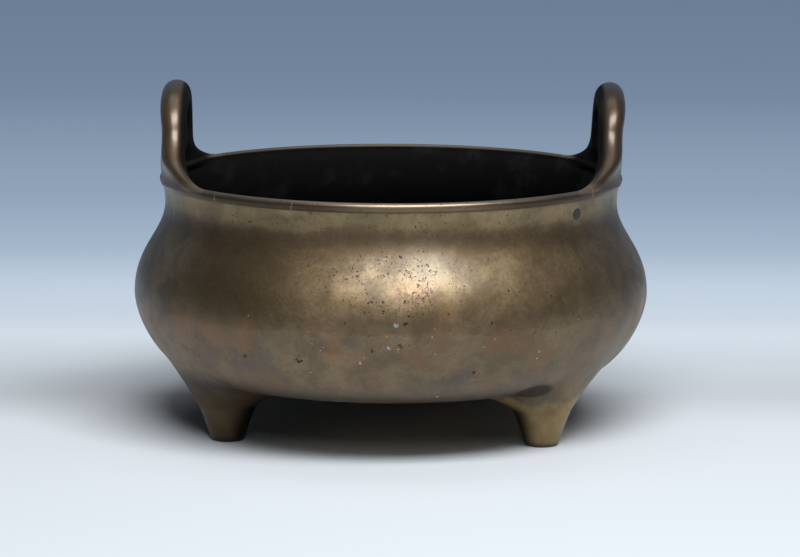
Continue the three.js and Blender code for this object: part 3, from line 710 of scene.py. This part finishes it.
# Painted shade: the dark oval over the right foot, where the belly's shoulder hangs over the root.
hollow = times(tree, around(tree, place, SHADE_OVER_FOOT_SPOT, 0.0125, 0.008, flatness=2.2), 0.9)
# Casting pits, fine ones everywhere and a swarm on the front of the upper belly, and a few larger nicks.
swarm = around(tree, place, SWARM_SPOT, 0.04, 0.006, flatness=1.9)
swarm = times(tree, swarm, between(tree, noise(tree, place, 110.0, 3.0), 0.36, 0.62))
fine_share = sums(tree, "ADD", times(tree, swarm, 0.9), times(tree, band, 0.25), 0.02)
small_share = sums(tree, "ADD", times(tree, swarm, 0.8), 0.006)
fine = use_group(tree, pits, place, Size=0.27, Scale=1050.0, Share=fine_share)["Pit"]
small = use_group(tree, pits, place, Size=0.2, Scale=520.0, Share=small_share)["Pit"]
nick = spotted(tree, place, DARK_NICKS, noise(tree, place, 900.0, 3.0), 2.3, 1.9)
pitted = sums(tree, "MAXIMUM", fine, small, nick)
# Flecks and specks of bare metal on the front.
fleck_share = times(tree, stain, between(tree, height, *FLECK_RISE), 0.15)
fleck = use_group(tree, pits, place, Size=0.24, Scale=610.0, Share=fleck_share)["Pit"]
speck = spotted(tree, place, PALE_SPECKS, noise(tree, place, 1100.0, 3.0), 2.3, 1.7)

colour = layered(tree, ground, [
    (olive, (84, 70, 50)),
    (dark, (86, 71, 52)),
    (grain, (78, 64, 46)),
    (band, (144, 127, 88)),
    (sums(tree, "ADD", shade_ring, low_shade_ring), (84, 68, 52)),
    (times(tree, lower, 0.45), (112, 97, 80)),
    (stain, (126, 95, 68)),
    (times(tree, rust, 0.38), (140, 98, 66)),
    (slate, (84, 82, 78)),
    (bottom, (50, 43, 36)),
    (root, use_group(tree, worn_and_shaded, place)["Colour"]),
    (lip, brown),
    (crest, RUBBED_CREST_AND_HIGHLIGHT),
    (golden, GOLDEN_MARK),
    (warm_rub_and_highlight, (186, 142, 110)),
    (silvery_highlight, (160, 160, 150)),
    (hollow, (42, 31, 20)),
    (times(tree, pitted, 0.92), (40, 26, 15)),
    (times(tree, fleck, 0.7), (196, 164, 112)),
    (times(tree, speck, 0.85), (168, 170, 172)),
    (black["Mask"], black["Colour"]),
])
# Soot, pits and the painted shade along the bottom and over the right foot make the skin less metallic.
dirt_and_shade = sums(tree, "MAXIMUM", black["Mask"], times(tree, pitted, 0.4), times(tree, hollow, 0.9),
               times(tree, bottom, 0.6))
metal = times(tree, sums(tree, "SUBTRACT", 1.0, dirt_and_shade), 0.86)
rough = sums(tree, "ADD", times(tree, patina["Patchy"], 0.08), times(tree, lower, 0.06), 0.46)
rough = sums(tree, "SUBTRACT", rough, times(tree, crest, 0.24))
relief = sums(tree, "ADD", times(tree, patina["Grain"], 0.035), times(tree, patina["Patchy"], 0.05))
relief = sums(tree, "SUBTRACT", relief, times(tree, pitted, 0.3))
feed(tree, shader, {
    "Base Color": colour,
    "Metallic": metal,
    "Roughness": sums(tree, "MAXIMUM", rough, times(tree, black["Mask"], 0.9)),
    "Normal": bumped(tree, relief, 0.5),
    "Specular IOR Level": 0.1,
    "Coat Weight": times(tree, metal, 0.42),
    "Coat Roughness": 0.3,
})

bowl = grid_object("bowl_casting", [shell_grid()] + [foot_patch(k) for k in range(3)], bowl_bronze)
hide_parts("bowl")
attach(bowl, "root")


# Handles: two loops of smooth dark bronze, cast with the stretch of lip that they grow from and let into the
# rim with hidden tenons. Finished by hand, so the left one stands a little higher and straighter.
HANDLE_RISES = {"handle_left": 0.0426, "handle_right": 0.042}
HANDLE_OFFSETS = {"handle_left": -0.0005, "handle_right": 0.0013}
HANDLE_FACINGS = {"handle_left": np.pi, "handle_right": 0.0}
HANDLE_INSET = 0.0059
HALF_SPAN = 0.026
LEG_WIDTH = 0.0116
LEG_DEPTH = 0.0111
LEG_TOP_HEIGHT = 0.137
LEG_FULL_HEIGHT = 0.131
LEG_BEND_HEIGHT = 0.137
ARCH_WIDTH = 0.0123
ARCH_DEPTH = 0.0125
OPENING_BEND_HEIGHT = 0.133
OPENING_SPLAY = 0.0098
OPENING_CORNER = 0.005
FLARE_TOP_HEIGHT = 0.144
FLARE_LENGTH = 0.019
FLARE_DROP = 0.01
LEG_SLANT = np.radians(18.0)
FLARE_INSET = 0.0012
SHOE_REACH = LIP_CREST_RADIUS * SHOE_HALF_ANGLE
CROWN_PULL = 0.54
SHOULDER_PULL = 0.38
FLARE_FULLNESS = 0.7
SHOE_FULLNESS = 0.8
LEAN_HEIGHT = 0.0426


def smooth_step(value, low, high):
    """Zero up to low, one from high on, and between them 6 t^5 - 15 t^4 + 10 t^3 of the share t."""
    t = np.clip((value - low) / (high - low), 0.0, 1.0)
    return t ** 3 * (t * (6 * t - 15) + 10)


def rounded(distance, radius):
    """Share of the full thickness at a distance inside an edge rounded with a radius: a quarter circle."""
    return np.sqrt(1 - (1 - np.minimum(1.0, distance / radius)) ** 2)


def even_line(points, count):
    """Points at even steps along a line of (along, up) points."""
    length = np.r_[0.0, np.cumsum(np.hypot(*np.diff(points, axis=0).T))]
    steps = np.linspace(0.0, length[-1], count)
    return np.stack([np.interp(steps, length, points[:, 0]), np.interp(steps, length, points[:, 1])], axis=1)


def distance_to(places, line):
    """Distance from each place to a line of points: the least of its distances to the segments."""
    run = np.diff(line, axis=0)
    away = places[..., None, :] - line[:-1]
    along = np.clip(np.sum(away * run, axis=-1) / np.sum(run ** 2, axis=-1), 0.0, 1.0)
    return np.min(np.linalg.norm(away - along[..., None] * run, axis=-1), axis=-1)


def handle_edges(height):
    """Half of the drawing of a handle, with (along the lip, up) points: the edge of the opening, a quarter
    ellipse and a Bezier curve, and the outer ridge, two Bezier curves that meet on the slanting leg."""
    inner, outer = HALF_SPAN - LEG_WIDTH / 2, HALF_SPAN + LEG_WIDTH / 2
    top = height - ARCH_WIDTH - OPENING_BEND_HEIGHT
    opening = [
        bead((0.0, OPENING_BEND_HEIGHT), (inner, top), np.pi / 2, 0.0, 200),
        bezier([(inner, OPENING_BEND_HEIGHT), (inner, LIP_HEIGHT + OPENING_CORNER),
                (inner + OPENING_SPLAY, LIP_HEIGHT), (inner - OPENING_CORNER, LIP_HEIGHT)], 200),
    ]
    slant = np.array([np.sin(LEG_SLANT), -np.cos(LEG_SLANT)])
    joint = np.array([outer, FLARE_TOP_HEIGHT])
    ridge = [
        bezier([(0.0, height), (CROWN_PULL * outer, height),
                joint - SHOULDER_PULL * outer * slant, joint], 200),
        bezier([joint, joint + FLARE_DROP * slant, (SHOE_REACH - FLARE_LENGTH, LIP_HEIGHT),
                (SHOE_REACH, LIP_HEIGHT)], 200),
    ]
    return [chain(even_line(arch, 151), even_line(leg, 181)) for arch, leg in (opening, ridge)]


def handle_depths(place, height, opening, ridge):
    """Depths of the inner and the outer face from the circle of the lip's crest. Half the thickness goes from
    that of the lip to that of the leg and the arch, and thins out round both edges. Under the lip's edge the
    faces run back to the crease outside and to the throat inside."""
    along, up = place[..., 0], place[..., 1]
    outer = HALF_SPAN + LEG_WIDTH / 2
    base = FLARE_FULLNESS * smooth_step(along, 0.7 * HALF_SPAN, outer)
    grown = base + (1 - base) * smooth_step(up, LIP_HEIGHT, LEG_FULL_HEIGHT)
    grown *= smooth_step(SHOE_REACH - along, 0.0, SHOE_REACH - outer)
    arch = smooth_step(up, LEG_TOP_HEIGHT, height - ARCH_WIDTH / 2)
    lip_width = LIP_OUTER_RADIUS - LIP_INNER_RADIUS
    low_thick = lip_width + (LEG_DEPTH - lip_width) * grown
    thick = low_thick + (ARCH_DEPTH - low_thick) * arch
    lip_round = LIP_HEIGHT - LIP_EDGE_HEIGHT
    radius = lip_round + (LEG_WIDTH / 2 - lip_round) * grown
    half = thick / 2 * rounded(distance_to(place, opening), radius)
    half = half * rounded(distance_to(place, ridge), radius)
    low = 1 - smooth_step(up, LIP_HEIGHT, LEG_TOP_HEIGHT)
    shift = (ARCH_DEPTH - LEG_DEPTH) / 2 * arch - FLARE_INSET * grown * low
    under = np.maximum(0.0, (LIP_EDGE_HEIGHT - up) / (LIP_EDGE_HEIGHT - CREASE_HEIGHT))
    throat, crease = THROAT_RADIUS - LIP_CREST_RADIUS, CREASE_RADIUS - LIP_CREST_RADIUS
    inner_face = (shift - half) * (1 - under) + throat * under
    curl = rounded(1 - under, 1.0)
    outer_face = crease + (shift + half - crease) * (curl + SHOE_FULLNESS * grown * (1 - under - curl))
    return inner_face, outer_face


def bent(along, depth, up, offset):
    """A place of the drawing in space: on the round lip at the bottom, in an upright plane higher up that
    leans out a little, and between the two by a smooth share of the height."""
    turn = along / LIP_CREST_RADIUS
    share = smooth_step(up, LIP_HEIGHT, LEG_BEND_HEIGHT)
    out = (LIP_CREST_RADIUS + depth) * np.cos(turn) * (1 - share)
    out += (LIP_CREST_RADIUS - HANDLE_INSET + depth + offset * (up - LIP_HEIGHT) / LEAN_HEIGHT) * share
    side = (LIP_CREST_RADIUS + depth) * np.sin(turn) * (1 - share) + along * share
    return np.stack([out, side, up], axis=-1)


def handle_grids(rise, offset, facing):
    """A handle with its stretch of lip as one closed skin. Lines of the loop run from the opening to the
    ridge, lines of the base run from the lip's crest down to the seat, and each carries an inner and an outer
    face. Strips close the seat and both ends, and the half at the other side is the mirror image."""
    height = LIP_HEIGHT + rise
    opening, ridge = handle_edges(height)
    near, far = opening[::3, None], ridge[::3, None]
    opening = np.concatenate([opening, [(0.0, LIP_HEIGHT)]])
    eased = (1 - np.cos(np.linspace(0.0, np.pi, 33)))[:, None] / 2
    loop = near * (1 - eased) + far * eased
    bar = bezier([(0.0, LIP_HEIGHT), loop[-1, 0]], 25)
    tops = np.concatenate([bar, loop[-1, 1:]])[:, None]
    late = 1 - np.cos(np.linspace(0.0, np.pi / 2, 17))[:, None]
    feet = np.concatenate([tops[..., :1], np.full_like(tops[..., 1:], CREASE_HEIGHT)], axis=-1)
    base = tops * (1 - late) + feet * late
    spin = np.array([[np.cos(facing), np.sin(facing), 0], [-np.sin(facing), np.cos(facing), 0], [0, 0, 1]])
    grids = []
    for side in (1, -1):
        loop_in, loop_out, base_in, base_out = (
            bent(side * part[..., 0], depth, part[..., 1], offset) @ spin
            for part in (loop, base) for depth in handle_depths(part, height, opening, ridge))
        seat = np.stack([base_in[:, -1], base_out[:, -1]])
        wall = np.stack([base_in[-1], base_out[-1]])
        grids += [g[:, ::-side] for g in (loop_out, base_in, wall)]
        grids += [g[:, ::side] for g in (loop_in, base_out, seat)]
    return grids


# The handles' patina and painted shade: heights at which each sets in or dies away, and how far the rubbed
# crest with its painted highlight is to the side.
SHOE_FALL = (0.126, 0.118)
POLISH_RISE = (0.116, 0.13)
HANDLE_CREST_RISE, HANDLE_CREST_FALL = (0.1178, 0.1194), (0.1235, 0.1207)
HANDLE_CREST_ASIDE = (0.05, 0.06)
INNER_SHADE_RISE = (0.1185, 0.1215)

handle_bronze, tree, shader, place = new_material("handle_bronze")
spot = split_xyz(tree, place)
patina = use_group(tree, clouds, place)
black = use_group(tree, soot_and_shade, place)
few = use_group(tree, pits, place, Scale=300.0, Share=0.012, Size=0.16)["Pit"]
golden = use_group(tree, marks, place)["Mask"]
ground = blend_colours(tree, patina["Broad"], linear(114, 94, 76), linear(103, 87, 71))
right = times(tree, between(tree, spot["X"], 0.0, 0.01), 0.5)
shoe = times(tree, between(tree, spot["Z"], *SHOE_FALL), 0.65)
# The rubbed crest at the ends of the shoe carries a painted highlight.
crest = times(tree, between(tree, spot["Z"], *HANDLE_CREST_RISE),
              between(tree, spot["Z"], *HANDLE_CREST_FALL),
              between(tree, one_value(tree, "ABSOLUTE", spot["Y"]), *HANDLE_CREST_ASIDE), 0.7)
# Dark inner faces: painted shade where they turn away from the light, and smoke that has settled where no
# hand rubs.
facing = split_xyz(tree, surface_normal(tree))
turned = sums(tree, "MINIMUM", times(tree, facing["Y"], one_value(tree, "SIGN", spot["Y"])),
              times(tree, facing["X"], one_value(tree, "SIGN", spot["X"])), facing["Z"])
soot_and_painted_shade = times(tree, between(tree, turned, -0.25, -0.7), between(tree, spot["Z"], *INNER_SHADE_RISE), 0.97)
soot_and_painted_shade = sums(tree, "MAXIMUM", soot_and_painted_shade, black["Mask"])

colour = layered(tree, ground, [
    (times(tree, patina["Patchy"], 0.5), (68, 55, 44)),
    (right, (60, 50, 42)),
    (shoe, LIP_BROWN),
    (times(tree, few, 0.8), (26, 22, 18)),
    (crest, RUBBED_CREST_AND_HIGHLIGHT),
    (golden, GOLDEN_MARK),
    (soot_and_painted_shade, black["Colour"]),
])
metal = times(tree, sums(tree, "SUBTRACT", 1.0, soot_and_painted_shade), 0.72)
rough = sums(tree, "ADD", times(tree, patina["Patchy"], 0.08), 0.4)
rough = sums(tree, "SUBTRACT", rough, times(tree, crest, 0.2))
relief = sums(tree, "SUBTRACT", times(tree, patina["Grain"], 0.03), times(tree, few, 0.2))
polish = sums(tree, "ADD", times(tree, between(tree, spot["Z"], *POLISH_RISE), 0.6), 0.35)
feed(tree, shader, {
    "Base Color": colour,
    "Metallic": metal,
    "Roughness": sums(tree, "MAXIMUM", rough, times(tree, soot_and_painted_shade, 0.8)),
    "Normal": bumped(tree, relief, 0.4),
    "Specular IOR Level": 0.1,
    "Coat Weight": times(tree, metal, polish),
    "Coat Roughness": 0.25,
})

for node, rise in HANDLE_RISES.items():
    grids = handle_grids(rise, HANDLE_OFFSETS[node], HANDLE_FACINGS[node])
    handle = grid_object(node + "_casting", grids, handle_bronze)
    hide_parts(node)
    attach(handle, "root")


# Feet: three turned cones with hollow sides and flat tips, cast apart and set on the roots with a spigot.
# They stand in a triangle, one of them at the back.
FOOT_NODES = ("foot_rear", "foot_front_left", "foot_front_right")


def foot_grid(angle):
    """A foot: a flat tip, a rounded edge and a hollow side turned about the foot's axis, closed on top."""
    turn = np.linspace(0.0, 2 * np.pi, 97)
    waist = FOOT_TIP_RADIUS + FOOT_WAIST * (FOOT_SEAM_RADIUS - FOOT_TIP_RADIUS)
    middle = FOOT_TIP_ROUND + FOOT_WAIST_HEIGHT * (FOOT_SEAM_HEIGHT - FOOT_TIP_ROUND)
    profile = chain(
        np.array([(0.0, 0.0), (FOOT_TIP_RADIUS - FOOT_TIP_ROUND, 0.0)]),
        bezier([(FOOT_TIP_RADIUS - FOOT_TIP_ROUND, 0.0),
                (FOOT_TIP_RADIUS - side_slope() * FOOT_TIP_ROUND, 0.0),
                (FOOT_TIP_RADIUS, FOOT_TIP_ROUND)], 8),
        bezier([(FOOT_TIP_RADIUS, FOOT_TIP_ROUND), (waist, middle),
                (FOOT_SEAM_RADIUS, FOOT_SEAM_HEIGHT)], 24),
        np.array([(FOOT_SEAM_RADIUS, FOOT_SEAM_HEIGHT), (0.0, FOOT_SEAM_HEIGHT)]),
    )
    radius, height = profile[:, :1], profile[:, 1:] * np.ones_like(turn)
    x = FOOT_CIRCLE_RADIUS * np.cos(angle) + radius * np.cos(turn)
    y = FOOT_CIRCLE_RADIUS * np.sin(angle) + radius * np.sin(turn)
    return np.stack([x, y, height], axis=-1)


foot_bronze, tree, shader, place = new_material("foot_bronze")
patina = use_group(tree, clouds, place)
few = use_group(tree, pits, place, Scale=330.0, Share=0.05, Size=0.18)["Pit"]
colour = layered(tree, use_group(tree, worn_and_shaded, place)["Colour"], [(times(tree, few, 0.85), (30, 26, 20))])
relief = sums(tree, "SUBTRACT", times(tree, patina["Grain"], 0.06), times(tree, few, 0.25))
feed(tree, shader, {
    "Base Color": colour,
    "Metallic": 0.86,
    "Roughness": sums(tree, "ADD", times(tree, patina["Patchy"], 0.08), 0.46),
    "Normal": bumped(tree, relief, 0.5),
    "Specular IOR Level": 0.1,
    "Coat Weight": 0.43,
    "Coat Roughness": 0.3,
})

for node, angle in zip(FOOT_NODES, FOOT_ANGLES):
    foot = grid_object(node + "_casting", [foot_grid(angle)], foot_bronze)
    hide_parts(node)
    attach(foot, "root")


# Neck plug: a small round peg of dull bronze, driven through the neck where a core support left a hole and
# filed off almost flush.
PLUG_ANGLE = np.radians(-37.7)
PLUG_HEIGHT = 0.1097
PLUG_RADIUS = 0.0026
PLUG_CROWN = 0.00015
PLUG_SEAT_RADIUS = NECK_RADIUS + 0.00035
PLUG_EDGE_DROP = 0.00002

plug_bronze, tree, shader, place = new_material("plug_bronze")
grain = use_group(tree, clouds, place)["Grain"]
feed(tree, shader, {
    "Base Color": blend_colours(tree, grain, linear(46, 48, 45), linear(78, 77, 70)),
    "Metallic": 0.6,
    "Roughness": sums(tree, "ADD", times(tree, grain, 0.2), 0.4),
    "Normal": bumped(tree, grain, 0.6, depth=0.00008),
})


def plug_grid():
    """The peg: a disc crowned like a lens with a rounded rim, turned about a line that points out from the
    bowl's axis, and a straight shank behind it."""
    turn = np.linspace(0.0, 2 * np.pi, 49)
    reach = np.linspace(0.0, 1.0, 12)[:, None]
    crown = PLUG_CROWN * np.sqrt(np.maximum(1 - reach ** 6, 0.0)) - PLUG_EDGE_DROP
    disc = np.stack(np.broadcast_arrays(crown, PLUG_RADIUS * reach * np.cos(turn),
                                        PLUG_RADIUS * reach * np.sin(turn)), axis=-1)
    shank = disc[-1:] - np.array([WALL, 0.0, 0.0])
    end = shank * np.array([1.0, 0.0, 0.0])
    return np.concatenate([disc, shank, end])[:, ::-1]


out = np.array([np.cos(PLUG_ANGLE), np.sin(PLUG_ANGLE), 0.0])
along = np.array([-np.sin(PLUG_ANGLE), np.cos(PLUG_ANGLE), 0.0])
up = np.array([0.0, 0.0, 1.0])
flat = plug_grid()
peg = (PLUG_SEAT_RADIUS + flat[..., :1]) * out + flat[..., 1:2] * along + (PLUG_HEIGHT + flat[..., 2:]) * up
plug = grid_object("neck_plug_peg", [peg], plug_bronze)
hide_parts("neck_plug")
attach(plug, "root")
